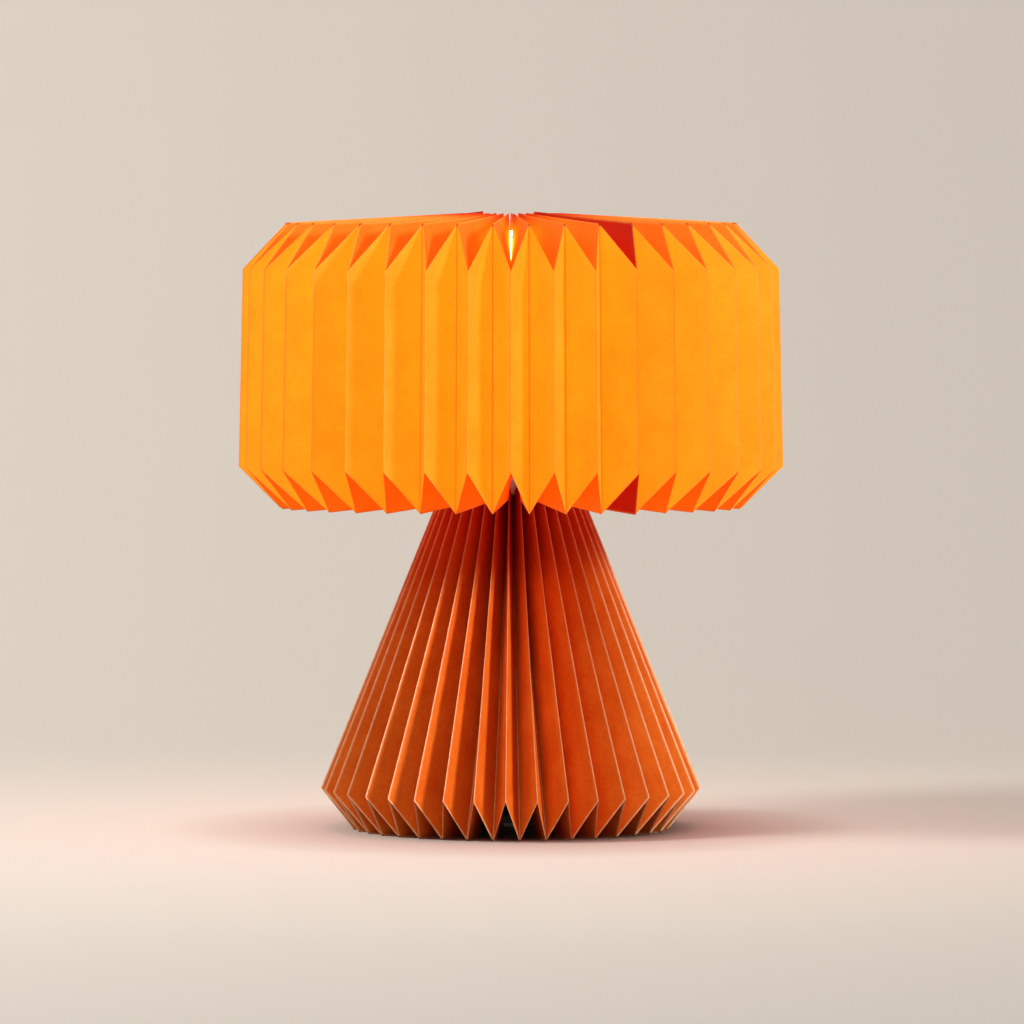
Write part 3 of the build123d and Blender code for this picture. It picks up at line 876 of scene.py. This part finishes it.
    def surface(self) -> Skin:
        """The whole sheet as a closed skin, bowed alike on both faces."""
        front, back = self.corners(0.0), self.corners(1.0)
        at = self.lattice(front)
        outer, normals = self.span_panels(front, at)
        inner = self.span_panels(back, at)[0]
        shift = normals * self.bowing(at)[..., None]
        outer, inner = outer + shift, inner + shift
        if self.opposite:
            for grid in (outer, inner, normals):
                grid[..., :2] *= -1.0
        start = np.concatenate([[0.0], np.cumsum(at.lengths)])[at.band]
        v = start + at.along * at.lengths[at.band]
        uv = flat_stack(((at.panel + at.across) * self.panel)[None, :], v[:, None])
        paint = self.painting(outer, normals, at)
        both = {key: np.concatenate([values, values]) for key, values in paint.items()}
        points = np.concatenate([outer.reshape(-1, 3), inner.reshape(-1, 3)])
        return Skin(points, self.walls(at.shape), np.tile(uv, (2, 1)), both)

    def walls(self, shape: tuple[int, int]) -> np.ndarray:
        """Faces of the outer side, the inner side and the strip round their edge."""
        total = shape[0] * shape[1]
        outside = grid_faces(*shape)
        inside = grid_faces(*shape, first=total)[:, ::-1]
        index = np.arange(total).reshape(shape)
        loop = np.concatenate([index[0, :-1], index[:-1, -1], index[-1, :0:-1], index[:0:-1, 0]])
        after = np.roll(loop, -1)
        strip = np.stack([after, loop, loop + total, after + total], axis=-1)
        return np.concatenate([outside, inside, strip])

    def build(self) -> bpy.types.Object:
        """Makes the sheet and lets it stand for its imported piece."""
        return add_piece(self.surface(), self.name, self.finish, self.body, self.node)


@dataclass
class GatherThread:
    """A closed ring of three-strand thread.

    Fields: name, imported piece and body; ring radius and height; thread radius; the rise
    of a strand in one turn; the share of the radius left in the hollows; and the points
    round the thread and for each turn of a strand.
    """

    name: str
    node: str
    body: str
    radius: float
    height: float
    thick: float = 0.0006
    lay: float = 0.0032
    hollow: float = 0.72
    round_points: int = 12
    turn_points: int = 8

    def build(self) -> bpy.types.Object:
        """A tube round the ring whose radius swells three times round its section.

        The swell is the squared cosine of one and a half times the angle that is left
        after the lay's own turn, so the strands wind round the thread.
        """
        turns = round(2.0 * pi * self.radius / self.lay)
        steps = turns * self.turn_points
        ring = np.arange(steps)[:, None] * 2.0 * pi / steps
        thread = np.arange(self.round_points)[None, :] * 2.0 * pi / self.round_points
        strand = np.abs(np.cos(1.5 * (thread - turns * ring)))
        size = self.thick * (self.hollow + (1.0 - self.hollow) * strand)
        reach = self.radius + size * np.cos(thread)
        rise = self.height + size * np.sin(thread)
        points = flat_stack(reach * np.sin(ring), -reach * np.cos(ring), rise)
        uv = flat_stack(thread * self.thick, ring * self.radius)
        faces = grid_faces(steps, self.round_points, closed=True)[:, ::-1]
        skin = Skin(points, faces, uv, {"strand": strand.ravel()})
        return add_piece(skin, self.name, ThreadFinish(), self.body, self.node)


# ---------------------------------------------------------------- sub-assemblies


def fold_depth(radius: float, panel: float, count: int) -> float:
    """Distance between an outer and an inner fold.

    The panel's width is the long side over it and over half the outer folds' chord.
    """
    return (panel**2 - (radius * sin(pi / count)) ** 2) ** 0.5


@dataclass
class PaperShade:
    """The folded drum with its tucked roof and floor, glued from two sheets.

    Fields: pleats and panel width; wall radius, how much it tapers to the top, wall
    height and the drop of its rim at the sides; how far roof and floor are tucked in, their
    slopes and the floor's twist; radii of the openings, and how closely the roof's folds
    crowd; folds from the front to the seam; how far the threads lie in from the opening;
    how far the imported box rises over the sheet, to the glue tabs' outer face; the share of
    light in floor, wall and roof; the seed of the bowing; and the light.
    """

    pleats: Pleats = Pleats(38, bunching=radians(1.7))
    panel: float = 0.033
    radius: float = 0.190
    taper: float = 0.003
    wall: float = 0.1352
    sag: float = 0.002
    roof_tuck: float = 0.032
    floor_tuck: float = 0.0294
    roof_slope: float = radians(3.1)
    floor_slope: float = radians(3.0)
    floor_twist: float = radians(2.5)
    roof_opening: float = 0.033
    floor_opening: float = 0.055
    crowding: float = 0.45
    seam: int = 3
    cord_inset: float = 0.003
    tab_rise: float = 0.001165
    zone_light: Triple = (0.36, 1.0, 0.39)
    seed: int = 11
    light: LampLight = field(default_factory=LampLight)

    def rings(self) -> tuple[Ring, ...]:
        """Rings of corners from the floor's opening, over the wall, to the roof's opening."""
        count = self.pleats.count
        top_radius = self.radius - self.taper
        inner_top = top_radius * cos(pi / count) - fold_depth(top_radius, self.panel, count)
        inner_low = self.radius * cos(pi / count) - fold_depth(self.radius, self.panel, count)
        inner_taper = (inner_low - inner_top) / self.wall
        ridge_radius = inner_top - inner_taper * self.roof_tuck
        keel_radius = inner_low + inner_taper * self.floor_tuck
        ridge_rise = (ridge_radius - self.roof_opening) * tan(self.roof_slope)
        hollow_rise = self.roof_tuck + ridge_rise - fold_depth(self.roof_opening, self.panel, count)
        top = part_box("shade_sheet_right")[1][2] - self.tab_rise
        shoulder = top - ridge_rise - self.roof_tuck
        rim = shoulder - self.wall
        keel = rim - self.floor_tuck
        floor_edge = keel + (keel_radius - self.floor_opening) * tan(self.floor_slope)
        floor_top = floor_edge + fold_depth(self.floor_opening, self.panel, count)
        inside, hole = self.floor_opening, self.roof_opening
        return (
            Ring((inside, floor_top), (inside, floor_edge), twist=self.floor_twist),
            Ring((self.radius, rim), (keel_radius, keel), sag=self.sag),
            Ring((top_radius, shoulder), (ridge_radius, shoulder + self.roof_tuck)),
            Ring(
                (hole, shoulder + hollow_rise),
                (hole, top),
                crowding=self.crowding,
                slip=pi / count,
            ),
        )

    def build(self) -> None:
        """Folds both sheets and winds the two threads, half way up the openings' edges."""
        rings = self.rings()
        for side, opposite in (("right", False), ("left", True)):
            FoldedSheet(
                name="paper_shade_" + side,
                node="shade_sheet_" + side,
                body="shade",
                finish=PaperFinish(name="orange_paper_shade_" + side),
                rings=rings,
                pleats=self.pleats,
                panel=self.panel,
                first=2 * self.seam,
                panels=self.pleats.count + 1,
                tab_outside=True,
                zone_light=self.zone_light,
                seed=self.seed + opposite,
                opposite=opposite,
                light=self.light,
            ).build()
        for where, ring in (("roof", rings[-1]), ("floor", rings[0])):
            GatherThread(
                name=where + "_thread",
                node=where + "_gather_cord",
                body="shade",
                radius=ring.inner[0] + self.cord_inset,
                height=(ring.outer[1] + ring.inner[1]) / 2.0,
            ).build()


@dataclass
class PaperFoot:
    """The folded cone that stands on the table, with its plate, pads and neck.

    Fields: pleats and panel width; radius and height of the rim; radius and height of the
    neck; radius of the floor's opening; radius of the thread and its drop below the neck's
    edge; the paper; width of the worn and highlit folds; points along a panel; the share of
    painted shade at the neck; and the seed of the bowing.
    """

    pleats: Pleats = Pleats(38, turn=radians(-1.6))
    panel: float = 0.0336
    radius: float = 0.1328
    rim_height: float = 0.0287
    neck_radius: float = 0.045
    height: float = 0.245
    opening: float = 0.080
    cord_radius: float = 0.030
    cord_drop: float = 0.004
    # The foot's paper: its near-white folds are partly wear and partly a painted highlight, and its
    # dark red shade colour is painted shade at the neck.
    finish: PaperFinish = PaperFinish(
        name="orange_paper_foot",
        pale=(0.75, 0.165, 0.014),
        deep=(0.66, 0.105, 0.005),
        painted_shade=(0.62, 0.02, 0.001),
        fold=(1.0, 0.78, 0.45),
        fold_shade=0.0,
    )
    crease_width: float = 0.0012
    along: int = 13
    last_edge_shade: float = 0.8
    seed: int = 23

    def rings(self) -> tuple[Ring, ...]:
        """Rings of corners from the floor's opening, over the rim, to the neck."""
        count = self.pleats.count
        run, rise = self.neck_radius - self.radius, self.height - self.rim_height
        run, rise = run / hypot(run, rise), rise / hypot(run, rise)
        neck_depth = fold_depth(self.neck_radius, self.panel, count)
        rim_depth = fold_depth(self.radius, self.panel, count)
        neck = (self.neck_radius - neck_depth * rise, self.height + neck_depth * run)
        rim = (self.radius - rim_depth * rise, self.rim_height + rim_depth * run)
        slope = (rim[0] - neck[0]) / (neck[1] - rim[1])
        return (
            Ring((self.opening, fold_depth(self.opening, self.panel, count)), (self.opening, 0.0)),
            Ring((self.radius, self.rim_height), (rim[0] + slope * rim[1], 0.0)),
            Ring((self.neck_radius, self.height), neck),
        )

    def thread_level(self, neck: Ring) -> float:
        """Height of the neck's slanting edge over the thread, less the thread's drop."""
        inset = (self.neck_radius - self.cord_radius) / (self.neck_radius - neck.inner[0])
        return self.height - inset * (self.height - neck.inner[1]) - self.cord_drop

    def build(self) -> None:
        """Folds the sheet, winds its thread and dresses the plate, pads, nuts and neck."""
        rings = self.rings()
        FoldedSheet(
            name="paper_foot",
            node="foot_sheet",
            body="stand",
            finish=self.finish,
            rings=rings,
            pleats=self.pleats,
            panel=self.panel,
            first=self.pleats.count,
            panels=2 * self.pleats.count + 1,
            tab_outside=False,
            zone_light=(0.0, 0.0),
            seed=self.seed,
            crease_width=self.crease_width,
            along=self.along,
            last_edge_shade=self.last_edge_shade,
        ).build()
        level = self.thread_level(rings[-1])
        GatherThread("neck_thread", "foot_gather_cord", "stand", self.cord_radius, level).build()
        dress(COATED, "neck_cap", "shade_carrier")
        dress(SHADE_DARK_ENAMEL, "weight_plate")
        dress(RUBBER, "rubber_pads")
        dress(ZINC, "plate_washers", "plate_nuts", "neck_nuts", "neck_collar")


class LampHolder:
    """The threaded pipe with its leads, and the holder with its rings."""

    def build(self) -> None:
        """Dresses the pipe, the holder, its contacts and the leads."""
        dress(ZINC_THREAD, "lamp_pipe")
        dress(PLASTIC, "holder_skirt", "ring_nuts", "cord_bush")
        dress(PLASTIC_THREAD, "holder_barrel")
        dress(PORCELAIN, "holder_insert")
        dress(BRASS, "holder_screw_sleeve", "holder_centre_contact", "terminal_blocks", "bulb_tip")
        dress(ZINC, "terminal_screws")
        dress(SLEEVING, "lead_wires")


class Bulb:
    """The lit golf-ball bulb."""

    def build(self) -> None:
        """Dresses the glass, the cap, the stem and the filaments."""
        dress(OpalFinish(), "bulb_glass")
        dress(CAP_METAL, "bulb_cap")
        dress(CLEAR_GLASS, "bulb_stem")
        dress(BLACK_GLASS, "bulb_insulator")
        dress(FILAMENT, "bulb_filaments")
        dress(ZINC, "bulb_supports")


# ---------------------------------------------------------------- studio


class Reach(Enum):
    """What a light may reach, as the sweep's state in its linking."""

    BOTH = "BOTH"
    LAMP = "EXCLUDE"
    SWEEP = "INCLUDE"


@dataclass(frozen=True)
class StudioLight:
    """A soft square light that looks at the lamp.

    Fields: its name, degrees from the front towards +X and above the horizon, distance,
    side of the square, watts, and what the studio's flags let it light.
    """

    name: str
    azimuth: float
    elevation: float
    away: float
    size: float
    power: float
    reach: Reach


LIGHTS = (
    StudioLight("window", 49.0, 24.0, 2.6, 0.5, 62.0, Reach.LAMP),
    StudioLight("front", -14.0, 38.0, 3.0, 1.6, 32.0, Reach.LAMP),
    StudioLight("side", -72.0, 34.0, 2.8, 0.8, 14.0, Reach.BOTH),
    StudioLight("low_side", -72.0, 34.0, 2.8, 0.8, 34.0, Reach.SWEEP),
)


@dataclass
class Studio:
    """Pale sweep, soft lights and the camera.

    Fields: where the floor ends and how wide it turns up, the sweep's half width, near
    edge and height; its colour and its own light; more light, reach and place of the
    painted pool of light round the lamp; the share of the lamps' light that shows; the radii
    of the painted shadow under the foot, between which it starts to show its own light, and
    those of the painted shadow beside the foot, between which that grows from a share to
    full; the camera's distance, height and offset, its focal length and horizon in points
    of the picture, the picture's size and the sensor's width; the height that the lights
    look at, their colour, and the room.
    """

    floor_end: float = 0.75
    bend: float = 0.9
    half_width: float = 6.0
    near: float = -9.0
    tall: float = 6.0
    bounce: Colour = (0.8, 0.71, 0.63)
    own_light: Colour = (0.245, 0.235, 0.205)
    pool_light: Colour = (0.155, 0.135, 0.12)
    pool_reach: float = 0.62
    pool_front: float = 0.17
    shadow_share: float = 0.95
    shadow_under_foot: Corner = (0.1, 0.135)
    shadow_beside_foot: Corner = (0.12, 0.25)
    shadow_beside_share: float = 0.2
    distance: float = 5.296
    eye: float = 0.4459
    side: float = 0.0007
    focal_points: float = 7600.0
    horizon: float = 189.2
    picture: float = 1024.0
    sensor: float = 36.0
    aim: float = 0.2
    lamp_colour: Colour = (1.0, 0.98, 0.95)
    room: Colour = (0.96, 0.98, 1.0)
    room_strength: float = 0.22

    def sweep_finish(self) -> bpy.types.Material:
        """Matt paper that shows its own even light, and less of the lamps' light.

        What the camera and reflections see is a share of the lit paper, which keeps the
        lamp's shadow, plus the paper's own colour as light. A painted pool of light lies round
        the lamp: e to the minus squared distance over the squared reach. Under the foot and
        close to it a painted shadow takes away all of the paper's own light, or part of it.
        Its back is clear to the eye, so that the lamp can be looked at from behind and below.
        """
        wiring = Wiring("sweep_paper")
        path = wiring.add("LightPath").outputs
        seen = wiring.math("ADD", path["Is Camera Ray"], path["Is Glossy Ray"])
        seen = wiring.math("ADD", seen, path["Is Transmission Ray"], clamp=True)
        place = wiring.place()
        x, y, z = wiring.add("SeparateXYZ", {0: place}).outputs
        # Painted pool of light round the lamp, centred a little in front of it.
        reach = wiring.length(x, wiring.math("ADD", y, self.pool_front), z)
        far = wiring.math("DIVIDE", reach, self.pool_reach)
        pool = wiring.math("EXPONENT", wiring.times(wiring.times(far, far), -1.0))
        # Painted shadow under and beside the foot: no own light under it, a share of it close
        # beside it.
        from_lamp = wiring.length(x, y)
        beside = wiring.span(from_lamp, *self.shadow_beside_foot, self.shadow_beside_share, 1.0)
        clear = wiring.times(wiring.span(from_lamp, *self.shadow_under_foot), beside)
        grain = wiring.span(wiring.noise(place, 3.0, 2.0), 0.3, 0.7, 0.985, 1.0)
        near_light = tuple(own + more for own, more in zip(self.own_light, self.pool_light))
        shown = wiring.blend(pool, self.own_light, near_light)
        dim = tuple(channel * self.shadow_share for channel in self.bounce)
        wiring.drive("Base Color", wiring.blend(seen, self.bounce, dim))
        wiring.drive("Emission Color", wiring.dim(shown, wiring.times(grain, clear)))
        wiring.drive("Emission Strength", seen)
        under = wiring.add("NewGeometry").outputs["Backfacing"]
        through = wiring.times(path["Is Camera Ray"], under)
        wiring.drive("Alpha", wiring.math("SUBTRACT", 1.0, through))
        wiring.set(Roughness=0.9, Specular_IOR_Level=0.1)
        return wiring.material

    def build_sweep(self) -> None:
        """A flat floor, a quarter circle up, and a flat wall, carried along X."""
        turn = np.linspace(0.0, pi / 2.0, 17)
        back = self.floor_end + self.bend
        y = np.concatenate([[self.near], self.floor_end + self.bend * np.sin(turn), [back]])
        z = np.concatenate([[0.0], self.bend * (1.0 - np.cos(turn)), [self.tall]])
        x = np.array([-self.half_width, self.half_width])
        points = flat_stack(x[None, :], y[:, None], z[:, None])
        skin = Skin(points, grid_faces(len(y), 2), points[:, :2].copy())
        sweep = skin.piece("sweep")
        sweep.data.materials.append(self.sweep_finish())

    def add_light(self, light: StudioLight) -> None:
        """Adds a light. Its flag is a collection with the sweep in it, left out or alone lit."""
        data = bpy.data.lights.new(light.name, "AREA")
        data.size, data.energy, data.color = light.size, light.power, self.lamp_colour
        lamp = bpy.data.objects.new(light.name, data)
        turn, rise = radians(light.azimuth), radians(light.elevation)
        way = Vector((sin(turn) * cos(rise), -cos(turn) * cos(rise), sin(rise)))
        lamp.location = Vector((0.0, 0.0, self.aim)) + way * light.away
        lamp.rotation_euler = way.to_track_quat("Z", "Y").to_euler()
        bpy.context.scene.collection.objects.link(lamp)
        if light.reach is not Reach.BOTH:
            flagged = bpy.data.collections.new(light.name + "_flag")
            flagged.objects.link(bpy.data.objects["sweep"])
            flagged.collection_objects[0].light_linking.link_state = light.reach.value
            lamp.light_linking.receiver_collection = flagged
        log.info("light %s at %s", light.name, tuple(round(v, 2) for v in lamp.location))

    def build_camera(self) -> None:
        """A camera pitched down so that the eye's level falls on the picture's horizon line."""
        data = bpy.data.cameras.new("eye")
        data.sensor_width = self.sensor
        data.lens = self.focal_points * self.sensor / self.picture
        data.clip_start, data.clip_end = 0.1, 40.0
        camera = bpy.data.objects.new("eye", data)
        pitch = atan2(self.picture / 2.0 - self.horizon, self.focal_points)
        camera.location = (self.side, -self.distance, self.eye)
        camera.rotation_euler = (pi / 2.0 - pitch, 0.0, 0.0)
        bpy.context.scene.collection.objects.link(camera)
        bpy.context.scene.camera = camera

    def build(self) -> None:
        """Sets up the sweep, the lights, the room's light and the camera."""
        self.build_sweep()
        for light in LIGHTS:
            self.add_light(light)
        world = bpy.data.worlds.new("room")
        world.use_nodes = True
        background = world.node_tree.nodes["Background"]
        background.inputs["Color"].default_value = (*self.room, 1.0)
        background.inputs["Strength"].default_value = self.room_strength
        bpy.context.scene.world = world
        self.build_camera()


def main() -> None:
    """Builds the lamp and its studio."""
    logging.basicConfig(level=logging.INFO, format="%(name)s: %(message)s")
    for part in (PaperShade(), PaperFoot(), LampHolder(), Bulb(), Studio()):
        log.info("building %s", type(part).__name__)
        part.build()
    bpy.context.scene.view_settings.view_transform = "Standard"


if __name__ == "__main__":
    main()
